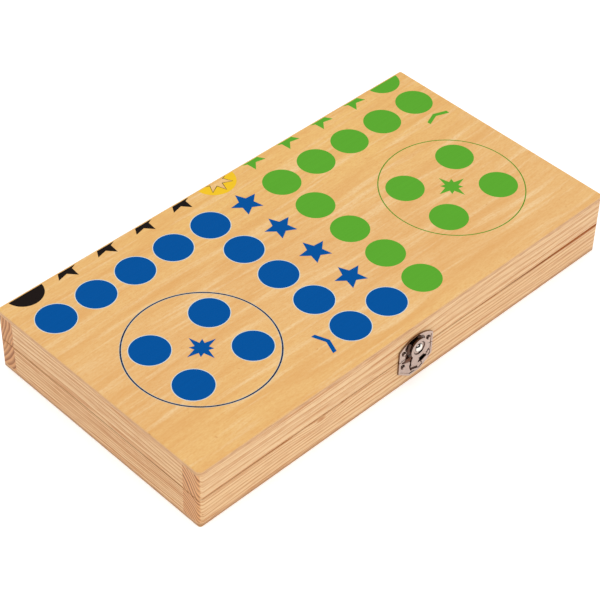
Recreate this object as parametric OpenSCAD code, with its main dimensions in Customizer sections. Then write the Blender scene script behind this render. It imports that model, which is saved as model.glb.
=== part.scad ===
// Folding ludo board box.
// Two shallow wooden trays hinge together along one long side. Each tray carries half of the printed board
// on its outer face, so the box opens flat into a square ludo board and closes round its playing pieces.
// Frame: origin under the middle of the closed box, +X along the hinge line, +Y towards the hinges, +Z up.

/* [Box] */
// Length of the closed box, along the hinge line
box_l = 300; // [296:1:340]
// Depth of one tray, from the hinge side to the latch side
box_w = 155; // [150:1:180]
// Height of the closed box
box_h = 40; // [38:1:56]
// Radius of the upright corners, as sanded
corner_r = 3; // [2:0.5:6]
// Radius on the edges round the printed faces
edge_r = 1; // [0.5:0.1:1.5]
// Radius on the edges of the rims
rim_r = 0.6; // [0.3:0.1:0.8]
// Gap between the two rims when closed
seam_gap = 0.3; // [0.2:0.05:0.5]

/* [Trays] */
// Thickness of the plywood panels
panel_t = 3; // [2.5:0.5:4]
// Thickness of the long rails
long_rail_t = 12; // [11:0.5:16]
// Thickness of the short rails
short_rail_t = 12; // [8:0.5:16]

/* [Board] */
// Bare margin between the outermost fields' squares and the shorter side of the open board
board_margin = 3.75; // [3.75:0.25:10]
// How far the print sits off the middle of the box, to the right
print_shift = 0.7; // [-1:0.1:1]
// Diameter of a round field, in squares
field_share = 0.82; // [0.7:0.01:0.84]
// Radius of a home yard's ring, in squares
yard_share = 1.55; // [1.4:0.01:1.65]
// Radius of the yellow disc in the middle of the board, in squares
centre_share = 0.475; // [0.4:0.005:0.49]
// Size of the stars in the home lanes, centre to point, in squares
star_share = 0.355; // [0.25:0.005:0.39]
// Width of the printed lines
line_w = 0.6; // [0.5:0.1:1.2]
// Width of the white underprint that shows round the blue fields and ring
white_rim = 0.4; // [0.3:0.1:0.8]
// Depth of the ink, drawn thicker than it is
ink_t = 0.2; // [0.2:0.05:0.4]

/* [Hinges] */
// Width of a hinge, along the hinge line
hinge_w = 24; // [20:1:32]
// Depth of a hinge leaf, from the back of the tray
leaf_d = 8; // [7:0.5:9.5]
// Thickness of a hinge leaf
leaf_t = 0.8; // [0.6:0.1:1]
// Outer radius of the knuckles
knuckle_r = 1.6; // [1.5:0.1:1.9]
// Radius of the hinge pin
pin_r = 0.7; // [0.6:0.05:0.8]
// Distance from the end of the box to the middle of a hinge
hinge_inset = 52; // [40:1:80]
// How far the hinge axis lies behind the trays' back faces
axis_offset = 0.2; // [0.15:0.05:0.4]
// Length of a hinge screw
screw_l = 8; // [6:0.5:10]

/* [Latch] */
// Width of the latch plates
latch_w = 25; // [25:0.5:30]
// Height of the upper plate at its middle, above the seam
lid_plate_h = 11.9; // [11.6:0.1:14]
// Height of the upper plate at its sides, above the seam
lid_plate_side = 7; // [6.6:0.1:8]
// Depth of the lower plate, below the seam
base_plate_h = 14.4; // [14:0.1:16.5]
// Thickness of the plates
plate_t = 0.8; // [0.6:0.1:1]
// Height of the rivet's axis above the seam
rivet_z = 4.8; // [4.7:0.1:5.2]
// Radius of the rivet's shank
rivet_r = 1.5; // [1.2:0.1:1.8]
// Thickness of the swinging lever
lever_t = 1; // [0.8:0.1:1.2]
// Distance from the rivet to the hook's inner edge
hook_r = 10.3; // [10:0.1:10.6]
// Length of a latch nail
nail_l = 8; // [5:0.5:9]

/* [Hidden] */
$fn = 48;

// Trays
tray_h = (box_h - seam_gap) / 2;      // outer face to rim
rim_z = tray_h;                       // the lower tray's rim
seam_z = box_h / 2;                   // middle of the gap between the rims

// Board: eleven squares each way; the print keeps off the rounded edges
board_squares = 11;
cell = (min(box_l, 2 * box_w) - 2 * board_margin) / board_squares;
field_r = field_share * cell / 2;
yard_r = yard_share * cell;
yard_dx = yard_r * 0.49;              // half the spacing of the yard's fields, along the hinge line
yard_dy = yard_r * 0.4;               // and across it
centre_r = centre_share * cell;
star_r = star_share * cell;
rose_r = yard_r * 0.24;               // compass rose in a yard, centre to point
mark_w = cell * 0.21;                 // chevron at the first field
mark_h = cell * 0.6;
mark_gap = cell * 0.155;
print_margin = edge_r + 0.2;

// Hinges
hinge_y = box_w / 2 + axis_offset;
hinge_x = box_l / 2 - hinge_inset;
knuckles = 5;
knuckle_gap = 0.15;
knuckle_l = hinge_w / knuckles;
leaf_half = (hinge_w - knuckle_gap) / 2;
pin_clear = 0.08;                     // radial, pin in knuckle
pin_head_t = 0.5;
pin_head_r = pin_r + 0.45;
barrel_clear = 0.3;                   // between the barrel and the wood
leaf_clear = 0.2;                     // round a leaf in its pocket
screw_r = 0.9;
screw_head_r = 1.75;
screw_dx = hinge_w * 0.29;
screw_y = box_w / 2 - leaf_d * 0.58;
drive_w = 0.5;
drive_d = 0.4;

// Latch, in its own frame: x to the right, y up from the seam, z out from the front of the box.
// The lever is drawn about its rivet.
plate_gap = 0.1;                      // plates stop short of the rims' edges
border_w = 1.2;                       // raised border round the plates
border_t = 0.25;
nail_x = latch_w / 2 - 3.3;
nail_y = 4.8;
nail_r = 0.6;
nail_head_r = 1.5;
nail_head_t = 1;
hole_clear = 0.05;                    // round nails and screws
boss_h = 1.4;                         // raised seat of the lever, pressed out of the lid plate
boss_slope = 1.7;
boss_r = min(lid_plate_h - rivet_z - 0.3, nail_x - nail_head_r - 0.6);
lever_z = plate_t + boss_h;           // back of the lever
head_r = 6;                           // round head
dish_r = 4.2;                         // dished round the rivet
dish_t = 0.5;
dish_slope = 0.7;
lobe_r = 4.4;                         // thumb lobe beside the head
lobe_at = [3, -2.6];
belly_r = 5.7;                        // belly that carries the hook
belly_at = [0.1, -7.4];
hook_w = 2.5;
hook_end = -60;                       // direction of the hook's tip
notch_end = -92;                      // direction of the notch's closed end
notch_r = 7.2;                        // notch's edge nearer the rivet
belly_in = 6;                         // degrees the hook starts inside the belly
catch_turn = 40;                      // degrees left open for the catch to pass
tab_w = 5.2;                          // thumb tab, curled outwards
tab_angle = -108;                     // its direction from the rivet
tab_r = 10.9;                         // where its bend starts
tab_bend = 1.2;
tab_relief = 0.3;                     // slots beside the bend
rivet_clear = 0.05;
rivet_head_r = 2.7;
rivet_head_t = 1.4;
tail_r = rivet_r + 0.9;
tail_t = 0.6;
catch_angle = -70;                    // direction of the catch from the rivet
catch_t = 1;
catch_w = 4;
catch_clear = 0.1;                    // between the catch's corners and the hook
catch_lip = 2;
catch_out = sqrt(pow(hook_r - catch_clear, 2) - pow(catch_w / 2, 2));
catch_top = lever_z + lever_t + 0.2;

wood_rail = "#E3B98C";
wood_panel = "#EFC182";
steel = "#C9C6C2";
ink_blue = "#0155A1";
ink_white = "#E9EDEA";
ink_green = "#5EAD30";
ink_black = "#1F1916";
ink_yellow = "#FACB2C";
ink_red = "#C5262C";

// ---------- trays ----------

// Outline of a rectangle with round corners, centred
module round_rect(w, d, r) {
    square([w - 2 * r, d], center = true);
    square([w, d - 2 * r], center = true);
    for (sx = [-1, 1], sy = [-1, 1])
        translate([sx * (w / 2 - r), sy * (d / 2 - r)]) circle(r);
}

// Cross-section of a tray: the printed face at y = 0, the rim at y = tray_h
module tray_section(w) {
    translate([-w / 2 + edge_r, 0]) square([w - 2 * edge_r, tray_h / 2]);
    translate([-w / 2 + rim_r, tray_h / 2]) square([w - 2 * rim_r, tray_h / 2]);
    translate([-w / 2, edge_r]) square([w, tray_h - edge_r - rim_r]);
    for (s = [-1, 1]) {
        translate([s * (w / 2 - edge_r), edge_r]) circle(edge_r);
        translate([s * (w / 2 - rim_r), tray_h - rim_r]) circle(rim_r);
    }
}

// The whole tray as sanded, solid: every wooden piece is cut from it
module tray_blank() {
    intersection() {
        linear_extrude(tray_h) round_rect(box_l, box_w, corner_r);
        rotate([90, 0, 0]) linear_extrude(box_w + 2, center = true) tray_section(box_l);
        rotate([90, 0, 90]) linear_extrude(box_l + 2, center = true) tray_section(box_w);
    }
}

module slab(x0, x1, y0, y1, z0, z1) {
    translate([x0, y0, z0]) cube([x1 - x0, y1 - y0, z1 - z0]);
}

// side: -1 front, 1 back. Long rails run the full length, so their end grain shows on the short sides
module long_rail(side) {
    y0 = side < 0 ? -box_w / 2 - 1 : box_w / 2 - long_rail_t;
    y1 = side < 0 ? -box_w / 2 + long_rail_t : box_w / 2 + 1;
    intersection() {
        tray_blank();
        slab(-box_l / 2 - 1, box_l / 2 + 1, y0, y1, panel_t, tray_h + 1);
    }
}

// side: -1 left, 1 right. Short rails butt between the long ones
module short_rail(side) {
    x0 = side < 0 ? -box_l / 2 - 1 : box_l / 2 - short_rail_t;
    x1 = side < 0 ? -box_l / 2 + short_rail_t : box_l / 2 + 1;
    y1 = box_w / 2 - long_rail_t;
    intersection() {
        tray_blank();
        slab(x0, x1, -y1, y1, panel_t, tray_h + 1);
    }
}

module panel() {
    intersection() {
        tray_blank();
        slab(-box_l / 2 - 1, box_l / 2 + 1, -box_w / 2 - 1, box_w / 2 + 1, -1, panel_t);
    }
}

// Back rail with its hinge pockets, barrel grooves and screw holes
module back_rail() {
    difference() {
        long_rail(1);
        for (s = [-1, 1]) translate([s * hinge_x, 0, 0]) hinge_pocket();
    }
}

module hinge_pocket() {
    half = hinge_w / 2 + leaf_clear;
    slab(-half, half, box_w / 2 - leaf_d - leaf_clear, box_w / 2 + 1, rim_z - leaf_t, rim_z + 1);
    groove = hinge_w / 2 + pin_head_t + barrel_clear;
    translate([-groove, hinge_y, seam_z]) rotate([0, 90, 0]) cylinder(r = knuckle_r + barrel_clear, h = 2 * groove);
    for (s = [-1, 1])
        translate([s * screw_dx, screw_y, rim_z - screw_l]) cylinder(r = screw_r + hole_clear, h = screw_l);
}

// Front rail with the holes of the latch nails
module front_rail() {
    difference() {
        long_rail(-1);
        translate([0, -box_w / 2, seam_z - nail_y]) rotate([90, 0, 0])
            for (s = [-1, 1])
                translate([s * nail_x, 0, -nail_l]) cylinder(r = nail_r + hole_clear, h = nail_l + 1);
    }
}

// Puts a tray-frame shape upside down on top, as the closed upper tray
module as_upper() {
    translate([0, 0, box_h]) mirror([0, 0, 1]) children();
}

// ---------- printed board ----------
// Drawn in the board's own frame: the middle of the open board at the origin, seen from the printed side.
// A player's quarter is drawn once, at the lower left, and turned for the other three.

// Points of a star: n long points of radius r1 with notches of radius r2 between them
function star(n, r1, r2, turn = 90) =
    [for (i = [0:2 * n - 1]) (i % 2 == 0 ? r1 : r2) * [cos(turn + i * 180 / n), sin(turn + i * 180 / n)]];

module at_cell(i, j) {
    translate([i * cell, j * cell]) children();
}

// The ten round fields of a quarter's stretch of the track
track_fields = concat([for (j = [1:5]) [-1, -j]], [for (i = [2:5]) [-i, -1]], [[0, -5]]);

module track_discs(r) {
    for (f = track_fields) at_cell(f.x, f.y) circle(r);
}

// turn: this quarter's turn, so that every yard is wide along the hinge line
module yard_discs(r, turn) {
    across = turn % 180 == 0;
    dx = across ? yard_dx : yard_dy;
    dy = across ? yard_dy : yard_dx;
    at_cell(-3.5, -3.5) for (sx = [-1, 1], sy = [-1, 1])
        translate([sx * dx, sy * dy]) circle(r);
}

module yard_ring(grow = 0) {
    at_cell(-3.5, -3.5) difference() {
        circle(yard_r + grow);
        circle(yard_r - line_w - grow);
    }
}

// Eight-pointed compass rose in the yard
module yard_rose() {
    at_cell(-3.5, -3.5) {
        polygon(star(4, rose_r, rose_r * 0.3));
        polygon(star(4, rose_r * 0.66, rose_r * 0.3, 45));
    }
}

module lane_stars() {
    for (j = [1:4]) at_cell(0, -j) polygon(star(5, star_r, star_r * 0.46));
}

// Chevron beside the first field, pointing at it
module start_mark() {
    thick = mark_w * 0.45;
    at_cell(-1, -5) translate([-field_r - mark_gap - mark_w, 0])
        polygon([[mark_w - thick, 0], [0, mark_h / 2], [thick, mark_h / 2],
            [mark_w, 0], [thick, -mark_h / 2], [0, -mark_h / 2]]);
}

// Everything one player's colour prints
module quarter(turn) {
    rotate(turn) {
        track_discs(field_r);
        yard_discs(field_r, turn);
        yard_ring();
        yard_rose();
        lane_stars();
        start_mark();
    }
}

module rims_of(turn) {
    rotate(turn) difference() {
        union() {
            track_discs(field_r + white_rim);
            yard_discs(field_r + white_rim, turn);
            yard_ring(white_rim);
        }
        track_discs(field_r);
        yard_discs(field_r, turn);
        yard_ring();
    }
}

// Middle of the board: an outlined compass star on a yellow disc
centre_star_r = centre_r * 0.86;
module centre_star(grow) {
    polygon(star(8, centre_star_r + grow, centre_star_r * 0.5 + grow));
}

module centre_lines() {
    difference() {
        centre_star(0);
        centre_star(-line_w);
    }
}

module centre_yellow() {
    difference() {
        circle(centre_r);
        centre_star(0);
    }
}

// side -1 keeps the half of the board on the upper tray, 1 the half on the lower tray
module half_board(side) {
    w = box_l - 2 * print_margin;
    d = box_w - 2 * print_margin;
    intersection() {
        translate([print_shift, 0]) children();
        translate([-w / 2, side > 0 ? print_margin : -print_margin - d]) square([w, d]);
    }
}

// Turns of the four colours on the board
blue_turn = 0;
green_turn = 90;
red_turn = 180;
black_turn = 270;

module ink_shape(colour) {
    if (colour == "blue") quarter(blue_turn);
    if (colour == "white") rims_of(blue_turn);
    if (colour == "green") quarter(green_turn);
    if (colour == "red") quarter(red_turn);
    if (colour == "black") {
        quarter(black_turn);
        centre_lines();
    }
    if (colour == "yellow") centre_yellow();
}

// Ink of one colour as a thin layer, flush with a tray's outer face, in the tray's frame
module ink_layer(colour, side) {
    // the lower tray's half is seen from below, so it is mirrored
    translate([0, box_w / 2, 0]) mirror([0, side > 0 ? 1 : 0, 0])
        linear_extrude(ink_t) half_board(side) ink_shape(colour);
}

upper_inks = ["blue", "white", "green", "black", "yellow"];
lower_inks = ["red", "black", "green", "yellow"];

module printed_panel(inks, side) {
    difference() {
        panel();
        translate([0, box_w / 2, -1]) mirror([0, side > 0 ? 1 : 0, 0])
            linear_extrude(1 + ink_t) half_board(side) {
                for (c = inks) ink_shape(c);
            }
    }
}

// ---------- hinges ----------

// Knuckles first to last in steps of two, as rods of radius r grown by side at each end
module barrel(first, r, side = 0) {
    for (i = [first:2:knuckles - 1])
        translate([-hinge_w / 2 + i * knuckle_l + knuckle_gap / 2 - side, 0, 0])
            rotate([0, 90, 0]) cylinder(r = r, h = knuckle_l - knuckle_gap + 2 * side);
}

// The lower leaf carries the even knuckles, the upper one, upside down, the odd ones
module leaf(first) {
    other = 1 - first;
    down = rim_z - seam_z;
    difference() {
        union() {
            slab(-leaf_half, leaf_half, -leaf_d - axis_offset, 0, down - leaf_t, down);
            barrel(first, knuckle_r);
        }
        barrel(other, knuckle_r + barrel_clear, knuckle_gap);
        translate([-hinge_w / 2 - 1, 0, 0]) rotate([0, 90, 0])
            cylinder(r = pin_r + pin_clear, h = hinge_w + 2);
        for (s = [-1, 1])
            translate([s * screw_dx, screw_y - hinge_y, down]) screw_cut();
    }
}

// Countersunk hole in a leaf, its face at z = 0
module screw_cut() {
    translate([0, 0, -leaf_t - 1]) cylinder(r = screw_r, h = leaf_t + 2);
    translate([0, 0, -leaf_t]) cylinder(r1 = screw_r, r2 = screw_head_r, h = leaf_t);
}

module screw() {
    difference() {
        union() {
            translate([0, 0, -leaf_t]) cylinder(r1 = screw_r, r2 = screw_head_r, h = leaf_t);
            translate([0, 0, -screw_l]) cylinder(r = screw_r, h = screw_l - leaf_t);
        }
        translate([-screw_head_r, -drive_w / 2, -drive_d]) cube([2 * screw_head_r, drive_w, drive_d + 1]);
    }
}

// Pin with a spread head against each end of the barrel
module hinge_pin() {
    rotate([0, 90, 0]) {
        cylinder(r = pin_r, h = 2 * leaf_half, center = true);
        for (s = [0, 1]) mirror([0, 0, s])
            translate([0, 0, leaf_half]) cylinder(r1 = pin_head_r, r2 = pin_r, h = pin_head_t);
    }
}

module at_hinge(s) {
    translate([s * hinge_x, hinge_y, seam_z]) children();
}

module hinge_leaf(s, upper) {
    color(steel) at_hinge(s) mirror([0, 0, upper ? 1 : 0]) leaf(upper ? 1 : 0);
}

module hinge_screws() {
    color(steel) for (s = [-1, 1], k = [-1, 1])
        translate([s * hinge_x + k * screw_dx, screw_y, rim_z]) screw();
}

// ---------- latch ----------

module at_latch() {
    translate([0, -box_w / 2, seam_z]) rotate([90, 0, 0]) children();
}

// Arched outline of the upper plate; inset draws the field inside its border
module lid_plate_outline(inset = 0) {
    rise = lid_plate_h - lid_plate_side;
    arch_r = (pow(latch_w / 2, 2) + pow(rise, 2)) / (2 * rise);
    low = seam_gap / 2 + plate_gap - inset;
    intersection() {
        translate([-latch_w / 2 + inset, low]) square([latch_w - 2 * inset, lid_plate_h - low]);
        translate([0, lid_plate_h - arch_r]) circle(arch_r - inset);
    }
}

// The lever's seat, a cone pressed out of the upper plate and cut off by the plate's lower edge
module seat_boss() {
    intersection() {
        translate([0, rivet_z, plate_t]) cylinder(r1 = boss_r, r2 = boss_r - boss_slope, h = boss_h);
        translate([-boss_r, seam_gap / 2 + plate_gap, 0]) cube([2 * boss_r, 2 * boss_r, plate_t + boss_h]);
    }
}

module lid_plate() {
    color(steel) at_latch() difference() {
        union() {
            linear_extrude(plate_t) lid_plate_outline();
            linear_extrude(plate_t + border_t) difference() {
                lid_plate_outline();
                lid_plate_outline(border_w);
            }
            seat_boss();
        }
        translate([0, rivet_z, 0]) {
            cylinder(r1 = boss_r - plate_t, r2 = boss_r - plate_t - boss_slope, h = boss_h);
            translate([0, 0, -1]) cylinder(r = boss_r - plate_t, h = 1);
            cylinder(r = rivet_r, h = lever_z + 2);
        }
        nail_holes(nail_y);
    }
}

module nail_holes(y) {
    for (s = [-1, 1]) translate([s * nail_x, y, -1]) cylinder(r = nail_r + hole_clear, h = plate_t + 2);
}

// Tapered outline of the lower plate
module base_plate_outline(inset = 0) {
    top = -seam_gap / 2 - plate_gap + inset;
    half = latch_w / 2 - inset;
    shoulder = -base_plate_h * 0.57 + inset * 0.5;
    foot = latch_w * 0.16 - inset * 0.33;
    low = -base_plate_h + inset;
    polygon([[-half, top], [-half, shoulder], [-foot, low], [foot, low], [half, shoulder], [half, top]]);
}

// Lower plate with the catch, a tongue bent out and over the hook
module base_plate() {
    color(steel) at_latch() {
        difference() {
            union() {
                linear_extrude(plate_t) base_plate_outline();
                linear_extrude(plate_t + border_t) difference() {
                    base_plate_outline();
                    base_plate_outline(border_w);
                }
            }
            nail_holes(-nail_y);
        }
        translate([0, rivet_z, 0]) rotate(catch_angle) translate([catch_out - catch_t, -catch_w / 2, 0]) {
            translate([0, 0, plate_t / 2]) cube([catch_t, catch_w, catch_top + plate_t / 2]);
            translate([0, 0, catch_top]) cube([catch_t + catch_lip, catch_w, plate_t]);
        }
    }
}

// Point at radius r in direction a
function polar(r, a) = r * [cos(a), sin(a)];

// Wedge with its tip at the rivet, between two directions
module wedge(from, to) {
    far = 4 * hook_r;
    polygon([[0, 0], polar(far, from), polar(far, (from + to) / 2), polar(far, to)]);
}

// Everything but the head: the belly, the notch that takes the catch, the hook under it and the tab's root
module hook_outline() {
    difference() {
        union() {
            translate(belly_at) circle(belly_r);
            intersection() {
                circle(hook_r + hook_w);
                wedge(notch_end - belly_in, hook_end);
            }
        }
        intersection() {
            difference() {
                circle(hook_r);
                circle(notch_r);
            }
            wedge(notch_end, hook_end + catch_turn);
        }
        translate(polar((hook_r + notch_r) / 2, notch_end)) circle((hook_r - notch_r) / 2);
        wedge(hook_end, hook_end + 2 * catch_turn);
        along_tab() translate([-tab_w / 2 - tab_relief, -2 * tab_r]) square([tab_w + 2 * tab_relief, tab_r]);
    }
    translate(polar(hook_r + hook_w / 2, hook_end)) circle(hook_w / 2);
    along_tab() translate([-tab_w / 2, -tab_r]) square([tab_w, tab_r / 2]);
}

// Turns the tab's own frame, where it points down from the rivet, to its place on the lever
module along_tab() {
    rotate(tab_angle + 90) children();
}

// Quarter bend that turns the end of the lever out into a thumb tab
module thumb_tab() {
    out_r = tab_bend + lever_t;
    along_tab() translate([0, -tab_r, out_r]) intersection() {
        rotate([0, 90, 0]) difference() {
            cylinder(r = out_r, h = tab_w, center = true);
            cylinder(r = tab_bend, h = tab_w + 1, center = true);
        }
        translate([-tab_w, -out_r - 1, -out_r - 1]) cube([2 * tab_w, out_r + 1, out_r + 1]);
    }
}

module lever() {
    color(steel) at_latch() translate([0, rivet_z, lever_z]) {
        difference() {
            linear_extrude(lever_t) {
                circle(head_r);
                translate(lobe_at) circle(lobe_r);
                hook_outline();
            }
            translate([0, 0, -1]) cylinder(r = rivet_r + rivet_clear, h = lever_t + 2);
            translate([0, 0, lever_t - dish_t]) cylinder(r1 = dish_r - dish_slope, r2 = dish_r, h = dish_t);
        }
        thumb_tab();
    }
}

// A dome of radius r and height h, standing on z = 0
module dome(r, h) {
    ball = (r * r + h * h) / (2 * h);
    intersection() {
        translate([0, 0, h - ball]) sphere(ball);
        cylinder(r = r, h = h);
    }
}

// Rivet through the lever and the lid plate, its tail spread inside the seat
module rivet() {
    seat = lever_z + lever_t - dish_t;
    color(steel) at_latch() translate([0, rivet_z, 0]) {
        translate([0, 0, seat]) dome(rivet_head_r, rivet_head_t);
        translate([0, 0, boss_h - tail_t]) cylinder(r = rivet_r, h = seat - boss_h + tail_t);
        translate([0, 0, boss_h - tail_t]) cylinder(r = tail_r, h = tail_t);
    }
}

module nails(y) {
    color(steel) at_latch() for (s = [-1, 1]) translate([s * nail_x, y, 0]) {
        translate([0, 0, plate_t]) dome(nail_head_r, nail_head_t);
        translate([0, 0, -nail_l]) cylinder(r = nail_r, h = nail_l + plate_t);
    }
}

// ---------- nodes ----------

color(wood_panel) printed_panel(lower_inks, 1);  // bottom_panel
color(wood_rail) front_rail();  // lower_front_rail
color(wood_rail) back_rail();  // lower_back_rail
color(wood_rail) short_rail(-1);  // lower_left_rail
color(wood_rail) short_rail(1);  // lower_right_rail
color(wood_panel) as_upper() printed_panel(upper_inks, -1);  // top_panel
color(wood_rail) as_upper() front_rail();  // upper_front_rail
color(wood_rail) as_upper() back_rail();  // upper_back_rail
color(wood_rail) as_upper() short_rail(-1);  // upper_left_rail
color(wood_rail) as_upper() short_rail(1);  // upper_right_rail
hinge_leaf(-1, false);  // left_hinge_lower_leaf
hinge_leaf(-1, true);  // left_hinge_upper_leaf
color(steel) at_hinge(-1) hinge_pin();  // left_hinge_pin
hinge_leaf(1, false);  // right_hinge_lower_leaf
hinge_leaf(1, true);  // right_hinge_upper_leaf
color(steel) at_hinge(1) hinge_pin();  // right_hinge_pin
hinge_screws();  // lower_hinge_screws
as_upper() hinge_screws();  // upper_hinge_screws
lid_plate();  // latch_lid_plate
base_plate();  // latch_base_plate
lever();  // latch_lever
rivet();  // latch_rivet
nails(nail_y);  // latch_lid_nails
nails(-nail_y);  // latch_base_nails
color(ink_blue) as_upper() ink_layer("blue", -1);  // upper_print_blue
color(ink_white) as_upper() ink_layer("white", -1);  // upper_print_white
color(ink_green) as_upper() ink_layer("green", -1);  // upper_print_green
color(ink_black) as_upper() ink_layer("black", -1);  // upper_print_black
color(ink_yellow) as_upper() ink_layer("yellow", -1);  // upper_print_yellow
color(ink_red) ink_layer("red", 1);  // lower_print_red
color(ink_black) ink_layer("black", 1);  // lower_print_black
color(ink_green) ink_layer("green", 1);  // lower_print_green
color(ink_yellow) ink_layer("yellow", 1);  // lower_print_yellow
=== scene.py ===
import math

import bpy
from mathutils import Matrix, Vector


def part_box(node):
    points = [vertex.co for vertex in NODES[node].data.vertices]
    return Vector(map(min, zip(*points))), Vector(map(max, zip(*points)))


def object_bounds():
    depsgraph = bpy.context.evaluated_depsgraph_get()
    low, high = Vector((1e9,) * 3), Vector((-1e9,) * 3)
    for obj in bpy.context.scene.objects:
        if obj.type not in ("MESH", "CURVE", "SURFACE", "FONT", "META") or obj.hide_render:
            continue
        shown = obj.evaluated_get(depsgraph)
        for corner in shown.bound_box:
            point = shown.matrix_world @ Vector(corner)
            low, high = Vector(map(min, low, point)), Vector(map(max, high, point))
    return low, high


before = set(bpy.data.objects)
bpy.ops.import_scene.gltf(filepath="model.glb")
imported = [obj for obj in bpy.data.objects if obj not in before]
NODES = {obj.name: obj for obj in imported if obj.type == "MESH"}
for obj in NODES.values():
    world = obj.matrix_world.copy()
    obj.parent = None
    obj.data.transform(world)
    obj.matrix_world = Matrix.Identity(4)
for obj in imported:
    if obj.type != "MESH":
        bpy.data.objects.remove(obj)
CAD_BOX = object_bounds()

SCENE = bpy.context.scene
MM = 0.001                  # the scene is in metres
X, Y, Z = range(3)


# ---------- camera ----------

CAMERA_AT = Vector((-0.5541, -0.5417, 0.7333))
CAMERA_LOOK = Vector((0.5170, 0.5121, -0.6859))     # the direction that it looks in
CAMERA_ROLL = 1.61                                  # degrees, the photograph's own tilt
FOCAL_PX = 1953.0                                   # focal length in pixels of the 600 px frame
FRAME_PX = 600.0
SENSOR_MM = 36.0
CLIP_NEAR = 0.05
CLIP_FAR = 20.0


def make_camera():
    data = bpy.data.cameras.new("camera")
    data.sensor_width = SENSOR_MM
    data.sensor_fit = "HORIZONTAL"
    data.lens = FOCAL_PX / FRAME_PX * SENSOR_MM
    data.clip_start = CLIP_NEAR
    data.clip_end = CLIP_FAR
    cam = bpy.data.objects.new("camera", data)
    turn = CAMERA_LOOK.to_track_quat("-Z", "Y").to_matrix().to_4x4()
    roll = Matrix.Rotation(math.radians(CAMERA_ROLL), 4, "Z")
    cam.matrix_world = Matrix.Translation(CAMERA_AT) @ turn @ roll
    SCENE.collection.objects.link(cam)
    SCENE.camera = cam


# ---------- colours and node helpers ----------

def srgb(r, g, b):
    """Colour read off in 0 to 255, as the linear value a shader takes."""
    def linear(v):
        v = v / 255.0
        return v / 12.92 if v <= 0.04045 else ((v + 0.055) / 1.055) ** 2.4
    return (linear(r), linear(g), linear(b), 1.0)


def darker(colour, share):
    return tuple(c * share for c in colour[:3]) + (1.0,)


WHITE = (1.0, 1.0, 1.0, 1.0)


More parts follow.
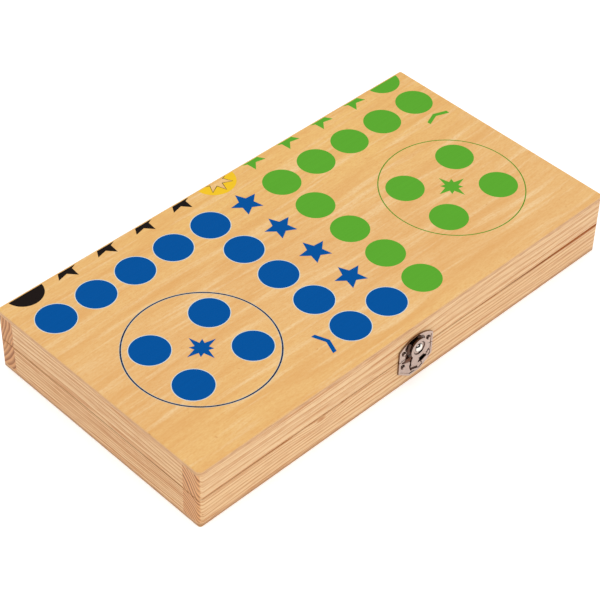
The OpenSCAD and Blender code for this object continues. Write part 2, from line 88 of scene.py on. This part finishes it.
class Graph:
    """A material's node tree, with short calls for the nodes used here.

    A value is a plain number or colour, or the output socket of another node."""

    def __init__(self, name):
        self.mat = bpy.data.materials.new(name)
        self.mat.use_nodes = True
        self.tree = self.mat.node_tree
        self.tree.nodes.clear()
        self.shader = self.node("BsdfPrincipled")
        self.out = self.node("OutputMaterial")
        self.join(self.shader.outputs["BSDF"], self.out.inputs["Surface"])
        self.coords = self.node("TexCoord").outputs["Object"]

    def join(self, output, socket):
        self.tree.links.new(output, socket)

    def put(self, socket, value):
        """Sets a socket to a number or colour, or links another socket to it."""
        if isinstance(value, bpy.types.NodeSocket):
            self.join(value, socket)
        else:
            socket.default_value = value

    def node(self, kind, **inputs):
        """A new node, with values for its inputs by name; an underscore stands for a space."""
        node = self.tree.nodes.new("ShaderNode" + kind)
        for name, value in inputs.items():
            self.put(node.inputs[name.replace("_", " ")], value)
        return node

    def calc(self, operation, *values, clamp=False):
        node = self.node("Math")
        node.operation = operation
        node.use_clamp = clamp
        for socket, value in zip(node.inputs, values):
            self.put(socket, value)
        return node.outputs[0]

    def plus(self, a, b):
        return self.calc("ADD", a, b)

    def minus(self, a, b):
        return self.calc("SUBTRACT", a, b)

    def times(self, a, b):
        return self.calc("MULTIPLY", a, b)

    def divide(self, a, b):
        return self.calc("DIVIDE", a, b)

    def apart(self, a, b):
        """How far two values are from each other."""
        return self.calc("ABSOLUTE", self.minus(a, b))

    def weigh(self, a, share_a, b, share_b):
        """The sum of two values, each times its own share."""
        return self.plus(self.times(a, share_a), self.times(b, share_b))

    def squares(self, a, b):
        """The sum of two values' squares."""
        return self.weigh(a, a, b, b)

    def split(self, v):
        """The x, y and z of a vector."""
        return self.node("SeparateXYZ", Vector=v).outputs[:]

    def merge(self, x, y, z):
        return self.node("CombineXYZ", X=x, Y=y, Z=z).outputs[0]

    def noise(self, v, scale, detail, rough=0.5):
        """Noise from 0 to 1 over a vector, with about scale waves in a metre."""
        return self.node("TexNoise", Vector=v, Scale=scale, Detail=detail, Roughness=rough).outputs["Fac"]

    def grain(self, place, scales, detail, rough=0.5, shift=(0.0, 0.0, 0.0)):
        """Noise that is drawn out.

        place: three values to spread it over. scales: its waves in a metre along each of them. shift:
        moves the pattern, so that pieces and layers differ."""
        drawn = self.merge(*[self.times(value, scale) for value, scale in zip(place, scales)])
        moved = self.node("VectorMath")
        self.put(moved.inputs[0], drawn)
        self.put(moved.inputs[1], shift)
        return self.noise(moved.outputs["Vector"], 1.0, detail, rough)

    def curve(self, value, stops):
        """A curve of straight stretches through its stops, each (value, height) in 0 to 1."""
        node = self.node("ValToRGB", Fac=value)
        elements = node.color_ramp.elements
        while len(elements) < len(stops):
            elements.new(0.5)
        for element, (at, height) in zip(elements, stops):
            element.position = at
            element.color = (height, height, height, 1.0)
        return node.outputs["Color"]

    def remap(self, value, low, high, at_low=0.0, at_high=1.0, smooth=False):
        """Goes from at_low to at_high as value goes from low to high, and no further."""
        node = self.node("MapRange")
        if smooth:
            node.interpolation_type = "SMOOTHSTEP"
        for socket, number in zip(node.inputs, (value, low, high, at_low, at_high)):
            self.put(socket, number)
        return node.outputs["Result"]

    def mix(self, share, under, over):
        """The colour under, with a share of the colour over laid on it."""
        node = self.node("Mix")
        node.data_type = "RGBA"
        for name, value in (("Factor", share), ("A", under), ("B", over)):
            self.put(node.inputs[name], value)
        return node.outputs["Result"]

    def tint(self, under, over, layer, low, high, most=1.0):
        """Lays on none of the colour over where layer is low, rising to the share most where it is high."""
        return self.mix(self.remap(layer, low, high, 0.0, most), under, over)

    def facing(self, axis, low=0.5, high=0.8):
        """1 on the faces square to an object axis, 0 on the others.

        low and high are the cosines between which that changes as a face leans over."""
        local = self.node("VectorTransform")
        local.vector_type = "NORMAL"
        local.convert_from = "WORLD"
        local.convert_to = "OBJECT"
        self.join(self.node("NewGeometry").outputs["True Normal"], local.inputs[0])
        square = self.calc("ABSOLUTE", self.split(local.outputs[0])[axis])
        return self.remap(square, low, high, smooth=True)

    def surface(self, colour, rough, bump=None, depth=0.0, **fixed):
        """Wires colour, roughness and a bump of some depth into the shader, and gives the material.

        fixed: plain numbers for the shader's other sockets, by name."""
        self.put(self.shader.inputs["Base Color"], colour)
        self.put(self.shader.inputs["Roughness"], rough)
        if bump is not None:
            node = self.node("Bump", Strength=1.0, Distance=depth, Height=bump)
            self.join(node.outputs["Normal"], self.shader.inputs["Normal"])
        for name, value in fixed.items():
            self.shader.inputs[name.replace("_", " ")].default_value = value
        return self.mat


def give(node, mat):
    """Gives a CAD node one material."""
    mesh = NODES[node].data
    mesh.materials.clear()
    mesh.materials.append(mat)


# ---------- pine rails ----------

SIDE_PALE = srgb(247, 209, 160)
SIDE_WARM = srgb(238, 194, 140)
SIDE_LINE = srgb(196, 126, 70)
END_PALE = srgb(240, 182, 128)
END_WARM = srgb(210, 146, 94)
END_LINE = srgb(138, 72, 36)

# a ring's darkness from its inner to its outer edge, thin for the sides and broad for the ends: early wood
# darkens slowly, then the late wood ends sharply
THIN_RING = ((0.0, 0.4), (0.07, 0.0), (0.60, 0.05), (0.80, 0.45), (0.92, 1.0))
BROAD_RING = ((0.0, 0.5), (0.09, 0.0), (0.38, 0.08), (0.68, 0.75), (0.88, 1.0))
RING_WANDER = 10 * MM                   # how far the rings wander along a rail
RING_UNEVEN = 0.8                       # how much their widths differ

KNOT_CORE = srgb(186, 112, 52)
KNOT_HEIGHT = 6 * MM
KNOT_SWELL = 3 * MM                     # how far the rings swell over it

# painted shade in the seam between the trays, on the rims' edges, the lower one's wider and warmer at the
# right end; its dark colour also serves the panels' dents and the painted shade on the bottom panel's arris
SEAM_Z = CAD_BOX[1][Z] / 2
SEAM_HALF = 0.1 * MM
SHADE_AND_DENT_DARK = srgb(124, 72, 26)
SEAM_SHADE_WARM = srgb(166, 86, 20)
SEAM_SHADE_WIDENS = (65 * MM, 125 * MM)      # from where to where, along X
SEAM_SHADE_REACH = (0.6 * MM, 2.1 * MM)      # below the seam, before and after that
SEAM_SHADE_REACH_ABOVE = 0.3                 # above the seam, as a share of that
SEAM_SHADE_DEEPENS = (-50 * MM, 120 * MM)    # from where to where, along X
SEAM_SHADE_DEPTH = (0.80, 0.95)              # its share of the colour, before and after that
RIM_FACE = (0.90, 0.98)                 # cosines that tell the faces that meet from the edges beside them


def knot(g, length, up, eye):
    """Squared distance from a knot, in its own reach: 0 at its middle, 1 where it ends."""
    at, reach, height = eye
    return g.squares(g.divide(g.minus(length, at), reach), g.divide(g.minus(up, height), KNOT_HEIGHT))


def growth_rings(g, place, pith, ring, seed, eye):
    """Growth rings round a pith line that runs along the piece: 0 in early wood, up to 1 in late wood.

    Gives them twice: as thin lines, for the sides, and broader, for the ends."""
    length, across, up = place
    wander = g.grain(place, (4.0, 26.0, 26.0), 2.0, shift=(seed, 0.0, 0.0))
    radius = g.calc("SQRT", g.squares(g.minus(across, pith[0]), g.minus(up, pith[1])))
    radius = g.plus(radius, g.times(g.minus(wander, 0.5), RING_WANDER))
    if eye:
        # the grain swells round a knot that lies just under the face
        near = g.calc("EXPONENT", g.times(knot(g, length, up, eye), -1.0))
        radius = g.plus(radius, g.times(near, KNOT_SWELL))
    uneven = g.noise(g.merge(radius, seed, 0.0), 230.0, 1.0)
    turns = g.plus(g.divide(radius, ring), g.times(uneven, RING_UNEVEN))
    part = g.calc("FRACT", turns)
    # each ring has a strength of its own, from noise taken far apart for neighbouring rings
    which = g.noise(g.merge(g.calc("FLOOR", turns), seed, 0.0), 7.31, 0.0)
    strength = g.remap(which, 0.32, 0.68, 0.55, 0.95)
    return g.times(g.curve(part, THIN_RING), strength), g.times(g.curve(part, BROAD_RING), strength)


def seam_shade(g, x, z):
    """The share and the colour of the painted shade beside the seam."""
    above = g.minus(z, SEAM_Z)
    right = g.remap(x, *SEAM_SHADE_WIDENS)
    reach_below = g.remap(right, 0.0, 1.0, *SEAM_SHADE_REACH)
    reach = g.times(reach_below, g.remap(above, -SEAM_HALF, SEAM_HALF, 1.0, SEAM_SHADE_REACH_ABOVE))
    near = g.calc("SUBTRACT", 1.0, g.divide(g.calc("ABSOLUTE", above), reach), clamp=True)
    near = g.calc("MULTIPLY", near, g.plus(right, 1.0), clamp=True)
    # the faces that meet when the box is shut get none of this painted shade
    depth = g.times(g.remap(x, *SEAM_SHADE_DEEPENS, *SEAM_SHADE_DEPTH), g.minus(1.0, g.facing(Z, *RIM_FACE)))
    return g.times(near, depth), g.mix(right, SHADE_AND_DENT_DARK, SEAM_SHADE_WARM)


def pine(name, along, pith, ring, bold, seed, eye=None, deep=0.0):
    """Solid pine with growth rings, so its ends show arcs and its sides long lines.

    along: the rail's own axis, X or Y. pith: the place of the rings' middle across the piece, as (across,
    up). ring: mean width of a ring. bold: how strongly its lines show on the sides. eye: place along the
    rail, reach and height of a knot. deep: how much deeper its end grain is."""
    g = Graph(name)
    x, y, z = g.split(g.coords)
    place = (x, y, z) if along == X else (y, x, z)
    line, band = growth_rings(g, place, pith, ring, seed, eye)
    fibre = g.grain(place, (110.0, 1300.0, 1300.0), 2.0, 0.6)
    streak = g.grain(place, (14.0, 820.0, 820.0), 2.0, 0.55, (0.0, seed, 0.0))
    blotch = g.grain(place, (7.0, 40.0, 60.0), 2.0, shift=(0.0, seed, 0.0))
    pore = g.grain(place, (900.0, 2200.0, 2200.0), 2.0, 0.7)
    # hairlines run where a slow noise passes its middle, and fade in and out
    drift = g.grain(place, (3.0, 420.0, 420.0), 1.0, shift=(seed, 0.0, seed))
    fade = g.grain(place, (45.0, 300.0, 300.0), 1.0, shift=(0.0, 0.0, seed))
    hair = g.times(g.remap(g.apart(drift, 0.5), 0.0, 0.045, 1.0, 0.0), g.remap(fade, 0.35, 0.60, 0.25, 0.95))

    side = g.tint(SIDE_PALE, SIDE_WARM, blotch, 0.35, 0.70, 0.30)
    side = g.tint(side, SIDE_LINE, streak, 0.50, 0.70, 0.20)
    side = g.tint(side, SIDE_LINE, fibre, 0.48, 0.74, 0.35)
    side = g.mix(hair, side, SIDE_LINE)
    side = g.mix(g.calc("MULTIPLY", line, bold, clamp=True), side, SIDE_LINE)
    if eye:
        side = g.mix(g.remap(knot(g, place[0], z, eye), 0.005, 0.06, 0.7, 0.0), side, KNOT_CORE)
    ends = g.mix(g.remap(pore, 0.40, 0.80, deep, deep + 0.30), END_PALE, END_WARM)
    ends = g.mix(g.times(band, 0.9), ends, END_LINE)
    # painted shade in the seam between the trays
    share, seam_colour = seam_shade(g, x, z)
    colour = g.mix(share, g.mix(g.facing(along), side, ends), seam_colour)

    rough = g.remap(g.plus(band, fibre), 0.3, 1.6, 0.42, 0.55)
    return g.surface(colour, rough, g.weigh(line, 0.4, fibre, 0.6), depth=0.03 * MM, Specular_IOR_Level=0.2)


def make_rails():
    rails = {
        # node: (its axis, pith across and up in mm, ring width in mm, boldness, seed)
        "upper_front_rail": (X, -16, -16, 2.1, 0.7, 1.0),
        "lower_front_rail": (X, -28, -38, 1.8, 0.85, 2.0),
        "upper_back_rail": (X, 129, 47, 2.1, 1.0, 3.0),
        "lower_back_rail": (X, 108, 35, 2.6, 1.0, 4.0),
        "upper_left_rail": (Y, -90, -61.3, 2.3, 1.3, 5.0),
        "lower_left_rail": (Y, -110, 91, 1.5, 1.25, 6.0),
        "upper_right_rail": (Y, 122, 80, 2.0, 1.0, 7.0),
        "lower_right_rail": (Y, 120, -50, 1.9, 1.0, 8.0),
    }
    eyes = {"lower_front_rail": (-68 * MM, 16 * MM, 18 * MM)}
    deeper = {"upper_back_rail": 0.45, "lower_back_rail": 0.40}
    for node, (along, across, up, ring, bold, seed) in rails.items():
        pith = (across * MM, up * MM)
        eye = eyes.get(node)
        deep = deeper.get(node, 0.0)
        give(node, pine(node + "_pine", along, pith, ring * MM, bold, seed, eye, deep))


# ---------- veneered panels ----------

FACE_YELLOW = srgb(243, 196, 119)
FACE_ROSY = srgb(240, 192, 127)
FACE_DEEP = srgb(228, 166, 92)
FACE_PALE = srgb(250, 216, 162)
FACE_FLECK = srgb(204, 134, 70)
PLY_PALE = srgb(236, 190, 140)
PLY_DARK = srgb(196, 143, 99)
GRAIN_BEND = 18 * MM                    # how far the grain swings to the side

# depths below the printed face
OUTER_JOINT = (0.95 * MM, 1.10 * MM)    # from the first ply to the middle one
INNER_JOINT = (1.90 * MM, 2.05 * MM)    # from the middle ply to the last one
ARRIS_HIGHLIGHT = (0.5 * MM, 1.3 * MM)       # where the painted highlight on the outer arris fades
DENTS_END = (0.4 * MM, 1.0 * MM)        # where the dents in it fade
ARRIS_SHADE_ENDS = (1.2 * MM, 2.6 * MM)        # where the painted shade along it fades


def ply_edge(g, x, y, z, seed, outer_z, shaded_arris):
    """Colour of a panel's edge: three plies, the dents of its outer arris, a painted highlight along that
    arris and, if asked, painted shade along it.
    """
    depth = g.apart(z, outer_z)
    # the middle ply runs across, so it shows end grain on the long sides
    middle = g.times(g.remap(depth, *OUTER_JOINT), g.remap(depth, *INNER_JOINT, 1.0, 0.0))
    grain = g.grain((x, y, z), (120.0, 120.0, 1900.0), 2.0, 0.6)
    edge = g.tint(PLY_PALE, PLY_DARK, grain, 0.35, 0.70)
    edge = g.mix(g.times(middle, 0.25), edge, PLY_DARK)
    # painted highlight along the outer arris
    edge = g.mix(g.remap(depth, *ARRIS_HIGHLIGHT, 0.6, 0.0), edge, FACE_ROSY)
    dent = g.grain((x, y, z), (130.0, 130.0, 0.0), 1.0, shift=(seed, 0.0, 4.0))
    dent = g.times(g.remap(dent, 0.70, 0.74), g.remap(depth, *DENTS_END, 1.0, 0.0))
    edge = g.mix(g.times(dent, 0.8), edge, SHADE_AND_DENT_DARK)
    if shaded_arris:
        # painted shade along the arris
        edge = g.mix(g.remap(depth, *ARRIS_SHADE_ENDS, 0.45, 0.0), edge, SHADE_AND_DENT_DARK)
    return edge


def veneer(name, seed, outer_z, shaded_arris=False):
    """Three-ply board with a pale veneer on its faces.

    outer_z: height of the printed face. shaded_arris: whether painted shade lies along its arris."""
    g = Graph(name)
    x, y, z = g.split(g.coords)
    # the grain runs along X, bends a little and shows as soft patches, streaks and short strokes
    flow = g.grain((x, y, z), (5.0, 7.0, 0.0), 2.0, shift=(seed, seed, 0.0))
    bent = (x, g.plus(y, g.times(g.minus(flow, 0.5), GRAIN_BEND)), z)
    tone = g.grain(bent, (3.5, 9.0, 0.0), 1.0, shift=(0.0, seed, 5.0))
    broad = g.grain(bent, (11.0, 130.0, 0.0), 3.0, 0.6, (0.0, seed, 3.0))
    strokes = g.grain(bent, (110.0, 560.0, 0.0), 3.0, 0.7, (0.0, seed, 7.0))
    pale = g.grain(bent, (17.0, 230.0, 0.0), 2.0, 0.6, (seed, 0.0, 9.0))
    fibre = g.grain(bent, (480.0, 1100.0, 0.0), 2.0, 0.6)
    fleck = g.grain((x, y, z), (260.0, 420.0, 0.0), 1.0, shift=(seed, 0.0, 2.0))

    face = g.tint(FACE_YELLOW, FACE_ROSY, tone, 0.35, 0.65)
    face = g.tint(face, FACE_DEEP, broad, 0.44, 0.66, 0.52)
    face = g.tint(face, FACE_DEEP, strokes, 0.46, 0.70, 0.42)
    face = g.tint(face, FACE_PALE, pale, 0.52, 0.72, 0.75)
    face = g.tint(face, FACE_DEEP, fibre, 0.42, 0.72, 0.50)
    face = g.tint(face, FACE_FLECK, fleck, 0.76, 0.80, 0.45)
    colour = g.mix(g.facing(Z), ply_edge(g, x, y, z, seed, outer_z, shaded_arris), face)

    rough = g.remap(strokes, 0.3, 0.8, 0.40, 0.50)
    height = g.weigh(strokes, 0.5, fibre, 0.5)
    return g.surface(colour, rough, height, depth=0.04 * MM, Specular_IOR_Level=0.25)


def make_panels():
    give("top_panel", veneer("top_veneer", 1.7, outer_z=CAD_BOX[1][Z]))
    give("bottom_panel", veneer("bottom_veneer", 5.3, outer_z=CAD_BOX[0][Z], shaded_arris=True))


# ---------- ink ----------

INKS = {
    "blue": srgb(1, 85, 161),
    "white": srgb(224, 232, 226),
    "green": srgb(94, 174, 50),
    "black": srgb(31, 24, 22),
    "yellow": srgb(250, 203, 44),
    "red": srgb(197, 38, 44),
}
# an ink's colour beside and in the thin ring line of a yard, where two inks overlap
OVERLAP_INKS = {
    "blue": srgb(10, 24, 60),
    "green": srgb(78, 146, 30),
    "white": srgb(236, 214, 176),
}
# the ring line's own colour, where it crosses the white
RING_LINE_INKS = {"white": OVERLAP_INKS["blue"]}

HINGE_SIDE_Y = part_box("top_panel")[1][Y]    # where the two halves of the board meet
CELL = 26.59 * MM                           # a square of the board
BOARD_SHIFT = 0.7 * MM                      # the print sits this far to the right on the box
YARD_X = 3.5 * CELL                         # a yard's middle, to both sides of the board's middle
YARD_Y = HINGE_SIDE_Y - 3.5 * CELL
YARD_R = 40.9 * MM                          # the middle of a yard's ring line
LINE_HALF = (0.42 * MM, 0.50 * MM)          # half the line's width, and where its soft edge ends
OVERLAP_HALF = (1.0 * MM, 1.6 * MM)         # the same for the overlap


def ring_line(g, x, y, full, none):
    """1 up to the distance full from the middle of a yard's ring line, 0 from the distance none."""
    lines = []
    for side in (-1, 1):
        radius = g.calc("SQRT", g.squares(g.minus(x, BOARD_SHIFT + side * YARD_X), g.minus(y, YARD_Y)))
        lines.append(g.remap(g.apart(radius, YARD_R), full, none, 1.0, 0.0))
    return g.calc("MAXIMUM", *lines)


def ink(name, plain, overlap=None, line=None):
    """Screen-printed ink: even and matt, with the wood's relief just showing through.

    overlap, line: its colour beside and in the thin ring line of a yard, if that differs."""
    g = Graph(name)
    x, y, z = g.split(g.coords)
    grain = g.grain((x, y, z), (30.0, 900.0, 0.0), 2.0, 0.6)
    speck = g.noise(g.coords, 1400.0, 2.0, 0.6)
    shade = darker(plain, 0.90)
    colour = plain
    if overlap:
        colour = g.mix(ring_line(g, x, y, *OVERLAP_HALF), colour, overlap)
    if line:
        colour = g.mix(ring_line(g, x, y, *LINE_HALF), colour, line)
    colour = g.tint(colour, shade, grain, 0.35, 0.75, 0.5)
    colour = g.tint(colour, shade, speck, 0.55, 0.80, 0.3)
    rough = g.remap(speck, 0.3, 0.8, 0.46, 0.56)
    return g.surface(colour, rough, g.weigh(grain, 0.6, speck, 0.4), depth=0.03 * MM, Specular_IOR_Level=0.02)


def make_ink():
    for colour, plain in INKS.items():
        mat = ink("ink_" + colour, plain, OVERLAP_INKS.get(colour), RING_LINE_INKS.get(colour))
        for half in ("upper", "lower"):
            node = f"{half}_print_{colour}"
            if node in NODES:
                give(node, mat)


# ---------- metal ----------

FLANK_SHADE = srgb(84, 64, 56)                # painted shade and dark reflection on pressed flanks and cut edges
CUT_EDGE = (0.05, 0.25)                 # cosines that tell a cut edge from a flank
SOFT_EDGE = 0.18 * MM
SHARP = 35.0                            # degrees; gentler edges than this aren't softened


def nickel(name, base, rough, marked=0.07, slopes=(0.80, 0.97), cut=1.0):
    """Nickel plate over pressed steel: bright, faintly wavy, with fine marks from handling.

    marked: how much rougher the marks are. slopes: how far a face may lean from the plane of the fittings
    before painted shade and dark reflection show on it, as the two cosines between which that sets in. cut:
    how much of that painted shade a cut edge gets."""
    g = Graph(name)
    wave = g.noise(g.coords, 150.0, 1.0, 0.4)
    marks = g.noise(g.coords, 2600.0, 3.0, 0.7)
    dull = g.noise(g.coords, 420.0, 2.0, 0.6)
    colour = g.tint(base, darker(base, 0.72), dull, 0.40, 0.75, 0.5)
    if slopes:
        # painted shade and dark reflection on faces that lean away from the fittings' plane; a cut edge gets
        # the share cut of it
        lean = g.minus(1.0, g.facing(Y, *slopes))
        flank_dark = g.times(lean, g.remap(g.facing(Y, *CUT_EDGE), 0.0, 1.0, cut, 1.0))
        colour = g.mix(flank_dark, colour, FLANK_SHADE)
    roughness = g.remap(marks, 0.3, 0.8, rough - 0.04, rough + marked)
    return g.surface(colour, roughness, g.weigh(wave, 0.92, marks, 0.01), depth=0.4 * MM, Metallic=1.0)


def soften(node):
    """Rounds a pressed piece's sharp edges a little."""
    bevel = NODES[node].modifiers.new("soft_edges", "BEVEL")
    bevel.width = SOFT_EDGE
    bevel.segments = 2
    bevel.angle_limit = math.radians(SHARP)


def make_metal():
    # the plates' and lever's pinkish, darker tone is a painted reflection of the wood and shaded floor beside
    # them, and the rivet's paler nickel a painted highlight
    plate = nickel("latch_nickel", srgb(188, 166, 155), 0.12, cut=0.6)
    lever = nickel("lever_nickel", srgb(183, 162, 152), 0.12)
    head = nickel("head_nickel", srgb(238, 233, 226), 0.08, slopes=(0.55, 0.80))
    hinge = nickel("hinge_nickel", srgb(206, 201, 196), 0.24, marked=0.12, slopes=None)
    for node in NODES:
        if node == "latch_rivet":
            give(node, head)
        elif node == "latch_lever":
            give(node, lever)
        elif node.startswith("latch_"):
            give(node, plate)
        elif "hinge" in node:
            give(node, hinge)
    for node in ("latch_lid_plate", "latch_base_plate", "latch_lever"):
        soften(node)


# ---------- floor, backdrop and light ----------

FLOOR_SIDE = 12.0
FLOOR_GLOW = 0.40
ROOM_LIGHT = 0.80                       # what the object gets from all round
BACKDROP_LIGHT = 1.0                    # what the camera sees beyond the floor


def card(name, width, height):
    """A flat rectangle round the origin, facing up."""
    mesh = bpy.data.meshes.new(name)
    x = width / 2
    y = height / 2
    mesh.from_pydata([(-x, -y, 0), (x, -y, 0), (x, y, 0), (-x, y, 0)], [], [(0, 1, 2, 3)])
    obj = bpy.data.objects.new(name, mesh)
    SCENE.collection.objects.link(obj)
    return obj


def aim(obj, at, target, axis):
    """Puts an object at a place and turns its axis towards another."""
    obj.location = at
    obj.rotation_euler = (Vector(target) - Vector(at)).to_track_quat(axis, "Y").to_euler()


def white_where_seen(g):
    """The floor looks white to the camera and to reflections, and keeps the object's shadow."""
    rays = g.node("LightPath").outputs
    mirrored = g.calc("MAXIMUM", rays["Is Glossy Ray"], rays["Is Transmission Ray"])
    seen = g.calc("MAXIMUM", rays["Is Camera Ray"], mirrored)
    paper = g.shader.outputs["BSDF"]
    glow = g.node("Emission", Color=WHITE, Strength=FLOOR_GLOW)
    glowing = g.node("AddShader")
    g.join(paper, glowing.inputs[0])
    g.join(glow.outputs[0], glowing.inputs[1])
    choice = g.node("MixShader", Fac=seen)
    g.join(paper, choice.inputs[1])
    g.join(glowing.outputs[0], choice.inputs[2])
    g.join(choice.outputs[0], g.out.inputs["Surface"])


def make_floor():
    floor = card("floor", FLOOR_SIDE, FLOOR_SIDE)
    g = Graph("floor_paper")
    grain = g.noise(g.coords, 900.0, 2.0)
    paper = g.tint(srgb(244, 244, 244), srgb(250, 250, 250), grain, 0.3, 0.7)
    floor.data.materials.append(g.surface(paper, 0.9, Specular_IOR_Level=0.1))
    white_where_seen(g)


def make_world():
    world = bpy.data.worlds.new("studio")
    SCENE.world = world
    world.use_nodes = True
    tree = world.node_tree
    tree.nodes.clear()
    rays = tree.nodes.new("ShaderNodeLightPath")
    choice = tree.nodes.new("ShaderNodeMixShader")
    tree.links.new(rays.outputs["Is Camera Ray"], choice.inputs[0])
    for socket, strength in zip(choice.inputs[1:], (ROOM_LIGHT, BACKDROP_LIGHT)):
        light = tree.nodes.new("ShaderNodeBackground")
        light.inputs["Color"].default_value = WHITE
        light.inputs["Strength"].default_value = strength
        tree.links.new(light.outputs[0], socket)
    out = tree.nodes.new("ShaderNodeOutputWorld")
    tree.links.new(choice.outputs[0], out.inputs["Surface"])


def lamp(name, at, target, size, watts):
    data = bpy.data.lights.new(name, "AREA")
    data.shape = "RECTANGLE"
    data.size, data.size_y = size
    data.energy = watts
    obj = bpy.data.objects.new(name, data)
    aim(obj, at, target, "-Z")
    SCENE.collection.objects.link(obj)


def flag(name, at, target, size):
    """A black card that the metal reflects as the dark part of the studio.

    It casts no shadow and doesn't show in the picture itself."""
    obj = card(name, *size)
    aim(obj, at, target, "Z")
    g = Graph(name + "_felt")
    nap = g.noise(g.coords, 600.0, 2.0)
    felt = g.mix(nap, srgb(18, 18, 18), srgb(34, 32, 31))
    obj.data.materials.append(g.surface(felt, 0.95, Specular_IOR_Level=0.05))
    obj.visible_camera = False
    obj.visible_diffuse = False
    obj.visible_shadow = False


def make_studio():
    make_floor()
    make_world()
    lamp("key", at=(0.3, 0.5, 1.8), target=(0.0, 0.0, 0.0), size=(1.6, 1.6), watts=4.0)
    lamp("fill", at=(-0.6, -1.7, 1.3), target=(0.0, 0.0, 0.02), size=(1.2, 0.8), watts=7.6)
    flag("front_flag", at=(-0.2, -1.6, 0.42), target=(0.0, 0.0, 0.03), size=(2.6, 0.8))
    flag("high_flag", at=(0.9, -1.1, 1.25), target=(0.0, 0.0, 0.03), size=(1.6, 1.2))


# ---------- the scene ----------

make_camera()
SCENE.view_settings.view_transform = "Standard"
make_rails()
make_panels()
make_ink()
make_metal()
make_studio()
